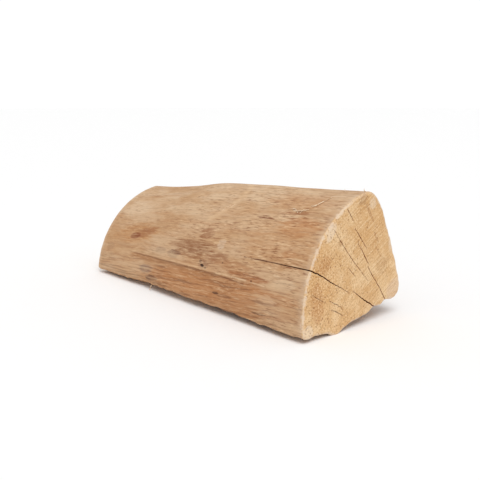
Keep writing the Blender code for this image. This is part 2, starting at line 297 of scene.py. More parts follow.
def surfaceRelief(x, fraction, perimeter, split, edge):
    # Sum of strips of raised and sunken grain, long along the log and narrow across it, of sharp
    # crests of torn wood on the split faces only, and of short frays on the low edge and the heel.
    total = 0
    for number, strip in enumerate(relief["strips"]):
        cells = round(perimeter / strip["width"])
        along = x / strip["length"] + latticeStart
        bump = patchNoise(along, fraction * cells + 0 * x, cells, relief["seed"] + number)
        total = total + bump * (strip["outer"] + (strip["split"] - strip["outer"]) * split)
    fade = splinterRidges["fade"]
    torn = split * ease(-x / fade) * ease((x + logShape["length"]) / fade)
    for number, ridge in enumerate((splinterRidges["coarse"], splinterRidges["sharp"])):
        cells = round(perimeter / ridge["width"])
        along = x / ridge["length"] + latticeStart
        across = fraction * cells + splinterRidges["slant"] * x
        dip = np.abs(patchNoise(along, across, cells, splinterRidges["seed"] + number))
        crest = splinterRidges["top"] - splinterRidges["range"] * dip
        total = total + ridge["height"] * crest * torn
    cells = round(perimeter / frayed["width"])
    fray = patchNoise(x / frayed["length"] + latticeStart, fraction * cells + 0 * x, cells, frayed["seed"])
    return total + frayed["height"] * fray * edge


def logGrid():
    # Rows of points from the middle of the near end, out over its rim, along the log and over the far
    # rim to the middle of the far end, with how much each point is split wood and rim, and how high it
    # stands over the even surface.
    rows, length, rim = logMesh["rimRows"], logShape["length"], logShape["rimRounding"]
    turn = np.linspace(0, math.pi / 2, rows + 1)
    rimBack = rim * (1 - np.sin(turn))
    rimIn = rim * (1 - np.cos(turn))
    body = np.linspace(rim, length - rim, logMesh["bodyRows"])
    x = -np.concatenate([rimBack[::-1], body[1:-1], length - rimBack])
    drawnIn = np.concatenate([rimIn[::-1], 0 * body[1:-1], rimIn])
    section = logOutline(x)
    normal = inwards(section)
    middle = section[len(x) // 2]
    run = np.linalg.norm(np.roll(middle, -1, 0) - middle, axis=1)
    fraction = (np.cumsum(run) - run)[None, :] / run.sum()
    split = blurRound(stretchShare(logMesh["splitShare"]), 6)[None, :] + 0 * x[:, None]
    edge = blurRound(stretchShare({"heel": (1, 1), "toe": (1, 1)}), 8)[None, :]
    bump = surfaceRelief(x[:, None], fraction, run.sum(), split, edge)
    fade = (ease((x + length) / relief["endFade"]) * ease(-x / relief["endFade"]))[:, None]
    lowered = bump * (relief["endShare"] + (1 - relief["endShare"]) * fade)
    count = rimChips["count"]
    chips = 1 + rimChips["share"] * patchNoise(0 * x[:, None] + 5, fraction * count, count, rimChips["seed"])
    section = section + normal * (drawnIn[:, None] * chips - lowered)[..., None]
    grid = np.concatenate([np.repeat(x[:, None, None], section.shape[1], 1), section], -1)
    fromRim = np.minimum(-x, x + length) - rim + rim * math.pi / 4
    fromRim[:rows + 1] = rim * np.abs(turn[::-1] - math.pi / 4)
    fromRim[-rows - 1:] = rim * np.abs(turn - math.pi / 4)
    nearRim = np.exp(-fromRim / logMesh["rimFade"])[:, None] + 0 * split
    sheets = [(grid, split, nearRim, bump / relief["crestScale"])]

    for first, centre, sign in ((grid[:1], logMesh["endMiddle"], 1), (grid[-1:], logMesh["farMiddle"], -1)):
        centre = np.array([first[0, 0, 0], *centre])
        away = first - centre
        reach = np.linalg.norm(away, axis=-1, keepdims=True)
        steps = np.array(logMesh["ringSteps"])[:, None, None]
        inner = np.minimum(1, logMesh["ringReach"] * reach / steps[-1])
        rings = centre + away * (1 - steps * inner / reach)
        across, up = rings[..., 1] / sawnFace["across"] + 50, rings[..., 2] / sawnFace["up"] + 50
        rough = patchNoise(across, up, sawnFace["repeat"], sawnFace["seed"])
        rings[..., 0] += sawnFace["height"] * rough * sign
        even = np.zeros(rings.shape[:2])
        edge = np.exp(-(steps[..., 0] + rim * math.pi / 4) / logMesh["rimFade"]) + even
        sheet = (rings, even, edge, even)
        if sign > 0:
            sheets.insert(0, tuple(part[::-1] for part in sheet))
        else:
            sheets.append(sheet)
    return [np.concatenate(parts) for parts in zip(*sheets)]


def placed(name, data):                # a new object in the scene
    obj = bpy.data.objects.new(name, data)
    bpy.context.collection.objects.link(obj)
    return obj


def meshFrom(name, points, faces):
    mesh = bpy.data.meshes.new(name)
    mesh.from_pydata(points.tolist(), [], faces)
    return placed(name, mesh)


def gridFaces(rows, count):            # quads between the rows of a grid that closes round
    i = np.arange(count)
    j = (i + 1) % count
    start = np.arange(rows - 1)[:, None] * count
    quads = np.stack([start + i, start + j, start + count + j, start + count + i], -1)
    return quads.reshape(-1, 4).tolist()


def addAttribute(mesh, name, values, domain="POINT"):
    attribute = mesh.attributes.new(name, "FLOAT", domain)
    attribute.data.foreach_set("value", np.ascontiguousarray(values, np.float32).ravel())


def buildLog(offset):
    grid, split, worn, crest = logGrid()
    rows, count = grid.shape[:2]
    points = settle(grid) + offset
    points[..., 2] = np.maximum(points[..., 2], 0)     # the three low spots are flat on the floor
    faces = gridFaces(rows, count)
    flat = points.reshape(-1, 3)
    nearMiddle, farMiddle = points[0].mean(0), points[-1].mean(0)
    flat = np.concatenate([flat, [nearMiddle, farMiddle]])
    last, i = (rows - 1) * count, np.arange(count)
    j = (i + 1) % count
    nearFan = np.stack([rows * count + 0 * i, j, i], -1)
    farFan = np.stack([rows * count + 1 + 0 * i, last + i, last + j], -1)
    faces += np.stack([nearFan, farFan], 1).reshape(-1, 3).tolist()
    obj = meshFrom("splitLog", flat, faces)
    for name, values in (("splitFace", split), ("rimHighlightAndWear", worn), ("crest", crest)):
        ends = [values[0].mean(), values[-1].mean()]
        addAttribute(obj.data, name, np.concatenate([values.ravel(), ends]))
    addAttribute(obj.data, "crackWallShade", np.zeros(len(faces)), "FACE")
    return obj


# Drying cracks of the two ends: points from rim to heart as (y, z, half width, depth into the log),
# in millimetres.
cracks = {
    "near": [
        [(-88.5, 49.5, 0.6, 70), (-82.7, 46.3, 0.56, 66), (-74, 41.9, 0.56, 52), (-63.7, 35.4, 0.4, 34),
         (-56, 31.2, 0.22, 24), (-47.5, 26.4, 0.12, 18)],
        [(-42.3, 26.1, 0.12, 14), (-36.6, 21.6, 0.36, 26), (-28.1, 16.1, 0.56, 36),
         (-19.5, 10.8, 0.5, 40), (-14, 7, 0.6, 44)],
        [(-46.1, 81.2, 0.14, 8), (-43.2, 77.5, 0.34, 16), (-39.8, 72.1, 0.12, 12)],
        [(-38.9, 67.7, 0.16, 14), (-32.9, 60.2, 0.34, 22), (-26.7, 52.6, 0.14, 14)],
        [(-36.2, 57.3, 0.12, 10), (-32.2, 52, 0.26, 18), (-28.6, 46.7, 0.36, 20),
         (-25.2, 41.7, 0.14, 14)],
        [(-26.2, 40.2, 0.22, 14), (-20.9, 32.3, 0.32, 22), (-13.3, 22.8, 0.28, 24),
         (-4.5, 8.5, 0.44, 28)],
        [(-59.4, 69.2, 0.12, 10), (-52.6, 59.5, 0.24, 18), (-41.9, 46.7, 0.24, 18),
         (-26.2, 30.4, 0.12, 10)],
        [(-82.5, 30.9, 0.12, 8), (-77.6, 27.8, 0.24, 12), (-72, 24.5, 0.12, 8)],
        [(-66.8, 24.1, 0.12, 8), (-60.4, 20.9, 0.24, 12), (-54.5, 17.3, 0.12, 8)],
        [(-65, 17.9, 0.12, 8), (-59.7, 15.4, 0.28, 12), (-53.2, 11.6, 0.12, 8)],
        [(-46.9, 42.6, 0.1, 8), (-43.3, 39.2, 0.18, 12), (-39.5, 35.5, 0.1, 8)],
    ],
    "far": [
        [(-70.5, 58, 0.14, 14), (-60, 49.5, 0.42, 26), (-48, 39, 0.14, 16)],
        [(-44, 38, 0.14, 14), (-31, 27, 0.36, 24), (-17, 14, 0.46, 34)],
        [(-28, 80, 0.12, 12), (-23, 65, 0.34, 24), (-15, 45, 0.14, 12)],
        [(-82, 33, 0.12, 10), (-70, 29, 0.28, 16), (-56, 24, 0.12, 10)],
    ],
    "overshoot": 0.004,
    "twist": 0.62,                     # turn about the pith, for each metre into the log
    "stepLength": 0.0014,
    "jag": 0.00022,
    "evenUnder": 0.00011,              # half width up to which a crack's ends stay unjagged
    "widen": 0.75,
    "widths": (0.72, 1.25),            # random share of the width and of the depth at each step
    "depths": (0.94, 1.0),
    "seed": 5,
}


def crackWedge(path, endX, inward, seed):
    # The path across the end face in short jagged steps, widened to both sides at the mouth and
    # closed to one edge at its depth inside the log.
    y, z, half, run = np.array(path).T / 1000
    reach = np.concatenate([[0], np.cumsum(np.hypot(np.diff(y), np.diff(z)))])
    at = np.linspace(0, reach[-1], max(4, round(reach[-1] / cracks["stepLength"])))
    y, z, half, run = (np.interp(at, reach, values) for values in (y, z, half, run))
    random = np.random.default_rng(seed)
    line = np.stack([y, z], -1)
    direction = unit(np.gradient(line, axis=0))
    side = np.stack([-direction[:, 1], direction[:, 0]], -1)
    jagged = half > cracks["evenUnder"]
    line = line + side * (cracks["jag"] * random.uniform(-1, 1, len(at)) * jagged)[:, None]
    half = half * cracks["widen"] * random.uniform(*cracks["widths"], len(at))
    run = run * random.uniform(*cracks["depths"], len(at))
    widen = 1 + cracks["overshoot"] / run[:, None]
    mouth = np.full(len(at), endX - inward * cracks["overshoot"])
    turn = cracks["twist"] * run * inward
    cos, sin = np.cos(turn), np.sin(turn)
    tip = np.stack([endX + inward * run, cos * line[:, 0] - sin * line[:, 1],
                    sin * line[:, 0] + cos * line[:, 1]], -1)
    left = np.column_stack([mouth, line + side * half[:, None] * widen])
    right = np.column_stack([mouth, line - side * half[:, None] * widen])
    return np.concatenate([left, right, tip]), len(at)


def buildCracks(offset):
    cutters = []
    for paths, endX, inward in ((cracks["near"], 0.0, -1.0), (cracks["far"], -logShape["length"], 1.0)):
        for path in paths:
            points, n = crackWedge(path, endX, inward, cracks["seed"] + len(cutters))
            i = np.arange(n - 1)
            quads = np.concatenate([np.stack([i, i + 1, n + i + 1, n + i], -1),
                                    np.stack([i, 2 * n + i, 2 * n + i + 1, i + 1], -1),
                                    np.stack([n + i, n + i + 1, 2 * n + i + 1, 2 * n + i], -1)])
            faces = quads.tolist() + [[0, n, 2 * n], [n - 1, 3 * n - 1, 2 * n - 1]]
            if inward < 0:
                faces = [face[::-1] for face in faces]
            cutter = meshFrom("crackCutter", settle(points) + offset, faces)
            addAttribute(cutter.data, "crackWallShade", np.ones(len(faces)), "FACE")
            cutters.append(cutter)
    return cutters


def cutCracks(log, cutters):
    for cutter in cutters:
        cut = log.modifiers.new("crack", "BOOLEAN")
        cut.operation, cut.solver, cut.object = "DIFFERENCE", "MANIFOLD", cutter
    graph = bpy.context.evaluated_depsgraph_get()
    finished = bpy.data.meshes.new_from_object(log.evaluated_get(graph))
    log.modifiers.clear()
    whole, log.data = log.data, finished
    bpy.data.meshes.remove(whole)
    for cutter in cutters:
        bpy.data.objects.remove(cutter)


# Loose fibres: ends of each as (x, angle, height over the outer face), thickness, sideways bend.
splinters = {
    "places": [
        ((-0.0285, 120.5, -0.0002), (-0.0195, 113.6, 0.0005), 0.00052, 0.0012),
        ((-0.0455, 124.0, -0.0003), (-0.034, 125.9, 0.0006), 0.00045, -0.0006),
        ((-0.0405, 124.2, -0.0003), (-0.0268, 123.4, 0.0006), 0.00045, 0.0003),
        ((-0.033, 125.6, -0.0003), (-0.0305, 123.2, 0.0009), 0.00026, 0.0003),
        ((-0.001, 104.6, -0.0006), (-0.005, 103.0, 0.0012), 0.00034, 0.0004),
        ((-0.11, 127.2, -0.0002), (-0.103, 123.6, 0.0003), 0.00022, 0.0003),
        ((-0.1657, 168.4, -0.0003), (-0.1668, 170.8, 0.0012), 0.00026, 0.0005),
        ((-0.0175, 106.0, -0.0004), (-0.0195, 104.6, 0.0008), 0.00024, 0.0002),
    ],
    "sides": 6,
    "steps": 14,
    "taper": 0.8,
    "arch": 0.0003,                    # how far the middle stands off
    "bendScale": 4,
}


def buildSplinters(offset):
    # Each fibre is a tapering round rod along an arc from its root in the wood to its tip.
    allPoints, allFaces = [], []
    sides, steps = splinters["sides"], splinters["steps"]
    for root, tip, thick, bend in splinters["places"]:
        t = np.linspace(0, 1, steps)
        x, angle, height = (a + (b - a) * t for a, b in zip(root, tip))
        bow = np.sin(math.pi * t)
        angle = np.radians(angle) + bend / logShape["trunkRadius"] * bow * splinters["bendScale"]
        radius = outerRadius(angle, x) + height + splinters["arch"] * bow
        line = np.stack([x, radius * np.cos(angle), radius * np.sin(angle)], -1)
        along = unit(np.gradient(line, axis=0))
        up = np.stack([0 * t, np.cos(angle), np.sin(angle)], -1)
        side = np.cross(along, up)
        turn = np.linspace(0, 2 * math.pi, sides, endpoint=False)[None, :, None]
        girth = (thick * np.sqrt(1 - splinters["taper"] * t))[:, None, None]
        rod = line[:, None] + girth * (np.cos(turn) * up[:, None] + np.sin(turn) * side[:, None])
        base = sum(len(part) for part in allPoints)
        allPoints.append(settle(rod.reshape(-1, 3)) + offset)
        caps = [list(range(sides))[::-1], list(range((steps - 1) * sides, steps * sides))]
        allFaces += [[base + k for k in face] for face in gridFaces(steps, sides) + caps]
    return meshFrom("looseFibres", np.concatenate(allPoints), allFaces)


print("shaping the log")
settled = settle(logGrid()[0])
low, high = settled.min((0, 1)), settled.max((0, 1))
nodeLow, nodeHigh = (np.array(corner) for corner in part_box("log"))
offset = (nodeLow + nodeHigh - low - high) / 2
offset[2] = 0.0
log = buildLog(offset)
print("cutting the drying cracks")
cutCracks(log, buildCracks(offset))
fibres = buildSplinters(offset)


# Shader maths: a wrapped socket that takes part in Python expressions.
class Wire:
    def __init__(self, tree, socket=None):
        self.tree, self.socket = tree, socket

    def node(self, kind, settings=None, sockets=None, out=0):
        # Any node: its settings are set first, then its sockets get values or links.
        made = self.tree.nodes.new(kind)
        for name, value in (settings or {}).items():
            setattr(made, name, value)
        for name, value in (sockets or {}).items():
            if isinstance(value, Wire):
                self.tree.links.new(value.socket, made.inputs[name])
            else:
                made.inputs[name].default_value = value
        return Wire(self.tree, made.outputs[out])

    def math(self, operation, other=0.0):
        return self.node("ShaderNodeMath", {"operation": operation}, {0: self, 1: other})

    def __add__(self, other):
        return self.math("ADD", other)

    def __sub__(self, other):
        return self.math("SUBTRACT", other)

    def __rsub__(self, other):
        return self.node("ShaderNodeMath", {"operation": "SUBTRACT"}, {0: other, 1: self})

    def __mul__(self, other):
        return self.math("MULTIPLY", other)

    def __truediv__(self, other):
        return self.math("DIVIDE", other)

    __radd__ = __add__
    __rmul__ = __mul__

    def sine(self):
        return self.math("SINE")

    def ramp(self, start, end):        # 0 at start, 1 at end, eased between and level beyond
        sockets = {"Value": self, "From Min": start, "From Max": end}
        return self.node("ShaderNodeMapRange", {"interpolation_type": "SMOOTHSTEP"}, sockets)

    def turn(self, start, end):        # the same for an angle, between degrees
        return self.ramp(math.radians(start), math.radians(end))

    def limited(self):                 # held between 0 and 1
        return self.node("ShaderNodeClamp", None, {"Value": self})

    def tint(self, under, over):       # colour under where this is 0, over where it is 1
        sockets = {0: self, 6: paint(under), 7: paint(over)}
        return self.node("ShaderNodeMix", {"data_type": "RGBA"}, sockets, out=2)

    def at(self, x, y, z):
        return self.node("ShaderNodeCombineXYZ", None, {"X": x, "Y": y, "Z": z})

    def noise(self, detail=2.0, rough=0.5):       # this vector already holds the scale
        sockets = {"Vector": self, "Scale": 1.0, "Detail": detail, "Roughness": rough}
        return self.node("ShaderNodeTexNoise", None, sockets)

    def attribute(self, name):
        return self.node("ShaderNodeAttribute", {"attribute_name": name}, out="Fac")


def nodeGroup(name, inputs, build):    # a reusable group of nodes with number sockets
    tree = bpy.data.node_groups.new(name, "ShaderNodeTree")
    for title in inputs:
        tree.interface.new_socket(name=title, in_out="INPUT", socket_type="NodeSocketFloat")
    tree.interface.new_socket(name="mask", in_out="OUTPUT", socket_type="NodeSocketFloat")
    source = tree.nodes.new("NodeGroupInput")
    result = build(**{title: Wire(tree, source.outputs[title]) for title in inputs})
    tree.links.new(result.socket, tree.nodes.new("NodeGroupOutput").inputs[0])
    return tree


def grouped(base, name, build, sockets):       # one use of a group, which is made the first time
    tree = bpy.data.node_groups.get(name) or nodeGroup(name, sockets, build)
    return base.node("ShaderNodeGroup", {"node_tree": tree}, sockets)


def stainAndLightMask(u, v, u0, v0, cos, sin, halfU, halfV, ragged, rag, texture, strength):
    # An ellipse turned to its axis: 1 inside and 0 outside, broken up by the grain at its edge.
    du, dv = u - u0, v - v0
    along, across = du * cos + dv * sin, dv * cos - du * sin
    distance = (along / halfU).math("POWER", 2.0) + (across / halfV).math("POWER", 2.0)
    mask = (distance + (rag - 0.5) * 2.4 * ragged).ramp(1.35, 0.45)
    return (mask * texture * strength).limited()


def lineMask(u, v, u0, v0, cos, sin, length, half, rag, strength):
    # Distance from a straight line between two places, faded over its width and broken by the grain.
    du, dv = u - u0, v - v0
    along = ((du * cos + dv * sin) / length).limited() * length
    away = (du - along * cos).math("POWER", 2.0) + (dv - along * sin).math("POWER", 2.0)
    return away.math("SQRT").ramp(half * 2.0, half * 0.4) * rag.ramp(0.36, 0.56) * strength


def paint(look):
    # A wire as it is. A colour, or its name in woodLook, goes from display values between 0 and 255 to
    # the linear ones of a shader.
    if isinstance(look, Wire):
        return look
    values = np.array(woodLook[look] if isinstance(look, str) else look) / 255
    linear = np.where(values <= 0.04045, values / 12.92, ((values + 0.055) / 1.055)**2.4)
    return (*linear.tolist(), 1.0)


woodLook = {
    "outerPale": (214, 184, 150),
    "outerMid": (194, 154, 114),
    "outerWarm": (178, 127, 86),
    "outerDark": (118, 76, 50),
    "outerFleck": (138, 88, 55),
    "outerFlank": (186, 143, 103),
    "outerBrink": (218, 192, 164),      # next to the sawn ends
    # painted shade under the ledge's step; the band is partly the torn fibres' own tone
    "ledgeFibresAndShade": (168, 116, 74),
    "ledgeShadowLine": (128, 84, 54),
    "lowBand": (182, 126, 80),
    "fleck": (224, 190, 150),
    "endPale": (229, 195, 150),
    "endMid": (213, 171, 120),
    "endCloud": (204, 154, 96),
    "endSpeck": (146, 96, 56),
    "sawLine": (180, 132, 82),
    "endLit": (240, 214, 174),
    # painted highlight of the rounded rim, with pale chips of wear
    "rim": (224, 202, 178),
    "splitPale": (206, 164, 120),
    "splitMid": (184, 134, 90),
    "splitDark": (122, 80, 52),
    # painted shade inside the cracks: the dark brown of their walls
    "crackWallShade": (150, 66, 24),
    "splinter": (242, 220, 190),
    "bumpDepth": 0.0006,
    "bumpStrength": 0.6,
    "roughness": 0.70,
    "endRougher": 0.08,
    "sawTilt": math.radians(28),       # of the saw lines from level
    "yearRings": 2400,                 # radians of their wave for each metre from the pith, on the ends
    "splitRings": 2100,                # and on the split faces
}
paleCrownBand = {"place": 0.1012, "bow": -0.21, "middle": math.radians(118), "ragged": 0.005,
            "half": 0.0050, "strength": 0.38}
# Noise of the grain: repeats for each metre along and across the log, shift along, detail, roughness.
sideNoise = {
    "blotch": (26, 70, 0, 3.0, 0.6),
    "patch": (22, 95, 5, 2.0, 0.6),
    "band": (20, 230, 3, 2.0, 0.55),
    "rag": (55, 420, 9, 3.0, 0.65),
    "streak": (75, 600, 0, 3.0, 0.62),
    "fine": (150, 1050, 0, 2.0, 0.6),
    "long": (22, 650, 11, 3.0, 0.6),
    "dash": (120, 1000, 7, 1.0, 0.5),
}
endNoise = {
    "grit": (200, 850, 0, 2.0, 0.6),
    "cloud": (20, 70, 0, 3.0, 0.6),
    "speck": (200, 520, 0, 1.0, 0.5),
    "chipped": (170, 170, 0, 2.0, 0.5),
    "frayed": (420, 420, 0, 1.0, 0.5),
}
# Layers of grain: kind, values between which it comes up, strength, colour and where it lies.
outerGrain = [
    ("long", 0.51, 0.66, 1.0, "outerDark", "lined"),
    ("long", 0.47, 0.32, 0.7, "fleck", "lined"),
    ("streak", 0.54, 0.74, 0.38, "outerFleck", "calm"),
    ("streak", 0.45, 0.28, 0.36, "fleck", "calm"),
    ("dash", 0.64, 0.76, 0.34, "outerDark", "rugged"),
    ("fine", 0.53, 0.72, 0.58, "outerFleck", "small"),
    ("fine", 0.46, 0.28, 0.52, "fleck", "small"),
]
splitGrain = [
    ("band", 0.46, 0.70, 0.55, "outerWarm"),
    ("year", 0.0, 1.0, 0.30, "splitMid"),
    ("long", 0.52, 0.66, 0.55, "splitDark"),
    ("long", 0.46, 0.32, 0.50, "fleck"),
    ("streak", 0.54, 0.72, 0.40, "splitDark"),
    ("streak", 0.44, 0.28, 0.40, "fleck"),
    ("fine", 0.54, 0.72, 0.45, "splitDark"),
    ("fine", 0.46, 0.30, 0.35, "splitPale"),
    # torn crests: hollows get painted shade, crests a paler tone, partly fresh wood and partly painted
    # highlight
    ("crest", 0.05, -0.75, 0.50, "splitDark"),
    ("crest", 0.15, 0.95, 0.50, "fleck"),
]
# Stains of the outer face, with a painted highlight and a painted shadow among them, in millimetres
# and degrees: place along the log, angle, half length, half width, slant of its axis, colour, strength,
# and how ragged the grain makes its edge.
stainsAndPaintedLight = [
    (-95, 163.5, 85, 10, 0.0, (180, 124, 80), 0.8, 0.7),            # warm low band
    (-80, 171.5, 60, 6, 0.0, (172, 118, 76), 0.6, 0.8),
    (-213, 147.0, 36, 17, 0.0, (186, 140, 96), 0.45, 1.0),          # tan far flank
    (-24, 133.0, 18, 9, 0.0, (190, 131, 84), 0.6, 1.3),             # orange near crown
    (-22, 145.7, 7, 3, 0.0, (184, 126, 84), 0.55, 1.2),
    (-40, 118.0, 34, 10, 0.0, (190, 138, 94), 0.45, 1.3),
    (-34, 141.5, 36, 17, 0.0, (188, 138, 92), 0.5, 1.1),
    (-202, 143.9, 30, 9, -0.1, (188, 136, 88), 0.6, 0.9),           # halo of the red stain
    (-189, 142.9, 14, 4.6, -0.22, (160, 106, 68), 0.75, 0.9),
    (-202.2, 145.4, 7.2, 3.1, -0.1, (136, 78, 48), 0.95, 0.7),
    (-118, 148.0, 30, 7.8, 0.03, (152, 106, 72), 0.85, 1.4),        # brown block
    (-92, 150.8, 14, 4.2, 0.03, (156, 110, 78), 0.65, 1.4),
    (-110, 140.6, 9, 4.8, -0.25, (158, 110, 76), 0.75, 1.1),
    (-142, 152.0, 8, 3.4, 0.03, (112, 82, 68), 0.65, 1.6),          # grey smudges
    (-159, 151.1, 8, 2.8, 0.03, (132, 106, 90), 0.42, 1.6),
    (-235, 152.5, 6, 4, 0.0, (160, 122, 92), 0.45, 1.2),
    (-53, 156.9, 24, 2.4, 0.06, (168, 110, 70), 0.85, 0.8),         # brown right of the knot
    (-70, 153.6, 18, 4, 0.03, (178, 130, 92), 0.5, 1.2),
    (-90, 144.9, 4, 5, 0.0, (220, 198, 174), 0.42, 1.6),            # pale patches
    (-19.5, 157.5, 12, 3.2, 0.0, (214, 184, 150), 0.65, 1.3),
    (-34.6, 165.1, 12, 3.6, 0.0, (210, 178, 144), 0.55, 1.4),
    # painted highlight along the top of the ledge
    (-150, 152.8, 26, 1.8, 0.05, (218, 188, 152), 0.5, 1.0),
    (-225, 128.0, 20, 10, 0.0, (220, 192, 160), 0.5, 1.2),
    (-150, 128.0, 30, 7, 0.0, (220, 192, 158), 0.45, 1.3),
    (-34, 125.5, 14, 2.4, 0.0, (156, 102, 66), 0.65, 1.3),          # shadow by the fibres
]
# Small marks drawn over them and over the low band, in the same form.
smallMarks = [
    (-176, 161.2, 9.5, 4, 0.0, (136, 114, 100), 0.55, 1.5),
    (-165.6, 165.0, 8.5, 2.8, 0.0, (92, 68, 56), 0.62, 1.8),
    (-103, 154.6, 6.2, 3.6, 0.0, (146, 104, 78), 0.55, 1.2),        # about the knot
    (-103.7, 155.3, 2.2, 1.1, 0.35, (34, 20, 16), 1.0, 0.8),
    (-106.5, 153.4, 1.8, 1.1, 0.0, (80, 54, 42), 0.75, 1.2),
    (-99.8, 156.1, 1.4, 0.9, 0.5, (72, 46, 36), 0.8, 0.9),
    (-85.9, 166.0, 3.8, 1, 0.03, (70, 42, 30), 1.0, 0.7),           # dark dashes
    (-77, 166.7, 8, 1.2, 0.03, (136, 94, 66), 0.6, 1.2),
    (-81.8, 152.7, 0.8, 0.6, 0.0, (88, 58, 42), 0.8, 0.5),          # specks
    (-49.4, 158.3, 1, 0.8, 0.0, (100, 64, 44), 0.8, 0.5),
    (-26.4, 154.9, 4.4, 1, 0.2, (228, 200, 164), 0.55, 1.3),        # pale chips
    (-28.3, 158.9, 7, 3, 0.0, (208, 174, 136), 0.55, 1.0),
    (-60.8, 129.7, 8, 0.9, 0.02, (124, 74, 48), 0.85, 0.8),
    (-40, 171.0, 7.5, 0.8, 0.02, (96, 62, 42), 0.75, 0.8),
]
# Thin lines of the outer face, in the same units: both ends as (along, angle), half width, colour,
# strength.
thinLines = [
    ((0, 150.8), (-40, 149.4), 0.5, (124, 72, 44), 0.5),            # painted shade along the mouth of the crack
    ((-40, 149.4), (-62, 148.8), 0.4, (106, 64, 42), 0.85),
    ((-245.5, 163.2), (-219.3, 163.9), 0.5, (132, 94, 70), 0.5),
    ((-219.3, 163.9), (-170, 165.6), 0.5, (122, 84, 60), 0.55),
    # painted shadow beside the loose fibre lying here, then the fibre's own pale line
    ((-110.4, 127.3), (-102.4, 123.2), 0.3, (168, 116, 80), 0.6),
    ((-109, 127.5), (-101, 123.4), 0.3, (228, 204, 176), 0.6),
    ((-75.7, 155.5), (-56.6, 156.1), 0.4, (128, 80, 52), 0.65),
    ((-56.6, 156.1), (-37.2, 157.0), 0.4, (132, 84, 54), 0.6),
    # painted shadow just below the ledge's step
    ((-92.8, 158.5), (-76.8, 158.8), 0.4, (118, 78, 56), 0.6),
    ((-76.8, 158.8), (-57.7, 160.1), 0.4, (124, 80, 54), 0.65),
    # painted highlight along the ledge's lip
    ((-86.8, 157.5), (-69.2, 158.0), 0.4, (224, 192, 152), 0.6),
    ((-69.2, 158.0), (-55.1, 158.5), 0.4, (228, 198, 160), 0.7),
    ((-55.1, 158.5), (-36.6, 159.6), 0.4, (228, 198, 160), 0.6),
    ((-50, 125.2), (-38, 125.0), 0.5, (222, 190, 152), 0.5),
]
# Marks of the near sawn end, in millimetres: across, up, half widths along and across its axis, slope
# of the axis, colour, strength and ragged edge.
endMarks = [
    (-22, 68, 19, 24, 0.0, (204, 156, 100), 0.5, 1.0),
    (-74, 40, 16, 24, 0.0, (206, 154, 94), 0.45, 1.0),
    (-70, 48, 7, 5, 0.5, (180, 122, 68), 0.5, 1.3),
    (-78.5, 25, 6, 13, 0.0, (182, 124, 70), 0.5, 1.3),
    (-10.4, 38.5, 7, 6, -1.5, (184, 140, 92), 0.5, 0.9),
    (-22.5, 76.5, 9, 1.2, -1.7, (160, 108, 62), 0.6, 0.8),
    (-16, 59, 5, 1.1, -2.0, (152, 102, 58), 0.55, 0.8),
    (-15, 50, 7, 0.9, -1.5, (168, 118, 72), 0.5, 0.8),
    (-29, 85.5, 6, 3, 0.4, (156, 112, 72), 0.55, 1.0),
    (-19, 82.3, 4, 4, 0.0, (232, 212, 186), 0.6, 0.9),
    (0, 52, 3, 6, 0.0, (232, 212, 186), 0.5, 0.9),
    (4, 18, 9, 9, 0.0, (224, 196, 168), 0.65, 0.8),
    (-62, 68, 8, 3, 1.3, (232, 212, 188), 0.6, 0.9),
    (-53.6, 59.7, 2.4, 2, 0.5, (168, 122, 76), 0.6, 0.8),
    (-87, 8, 4, 5, 0.0, (234, 214, 188), 0.7, 1.2),
]
endLips = {"half": 0.34, "colour": (136, 80, 42), "strength": 0.42}     # painted shade along the end's cracks


def grainPlace(wire):
    # Object coordinates turned back into the trunk's frame, as x, y and z.
    home = settle(np.zeros(3)) + offset
    place = wire.node("ShaderNodeTexCoord", out="Object")
    moved = wire.node("ShaderNodeVectorMath", {"operation": "SUBTRACT"}, {0: place, 1: home.tolist()})
    sockets = {"Vector": moved, "Rotation": (0, logShape["pithSlope"], 0)}
    turned = wire.node("ShaderNodeMapping", None, sockets)
    parts = turned.node("ShaderNodeSeparateXYZ", None, {0: turned}).socket.node
    return [Wire(wire.tree, parts.outputs[name]) for name in ("X", "Y", "Z")]


def addStainsAndLight(base, u, v, marks, grain):
    texture = grain["streak"].ramp(0.66, 0.36) * -0.55 + 1.2
    for *places, slope, over, strength, ragged in marks:
        u0, v0, halfU, halfV = (place / 1000 for place in places)
        size = math.hypot(1, slope)
        sockets = {"u": u, "v": v, "u0": u0, "v0": v0, "cos": 1 / size, "sin": slope / size,
                   "halfU": halfU, "halfV": halfV, "ragged": ragged, "rag": grain["rag"],
                   "texture": texture, "strength": strength}
        base = grouped(base, "stainAndLightMark", stainAndLightMask, sockets).tint(base, over)
    return base


def addLines(base, u, v, lines, grain):
    for start, end, half, over, strength in lines:
        u0, v0, u1, v1, half = (place / 1000 for place in (*start, *end, half))
        length = math.hypot(u1 - u0, v1 - v0)
        cos, sin = (u1 - u0) / length, (v1 - v0) / length
        sockets = {"u": u, "v": v, "u0": u0, "v0": v0, "cos": cos, "sin": sin, "length": length,
                   "half": half, "rag": grain["rag"], "strength": strength}
        base = grouped(base, "thinLine", lineMask, sockets).tint(base, over)
    return base


def onArc(degrees):                    # an angle about the pith to millimetres round the outer face
    return math.radians(degrees) * logShape["trunkRadius"] * 1000


def addGrain(base, grain, layers, places=None):
    for kind, start, end, strength, over, *where in layers:
        share = grain[kind].ramp(start, end) * strength
        for place in where:
            share = share * places[place]
        base = share.tint(base, over)
    return base


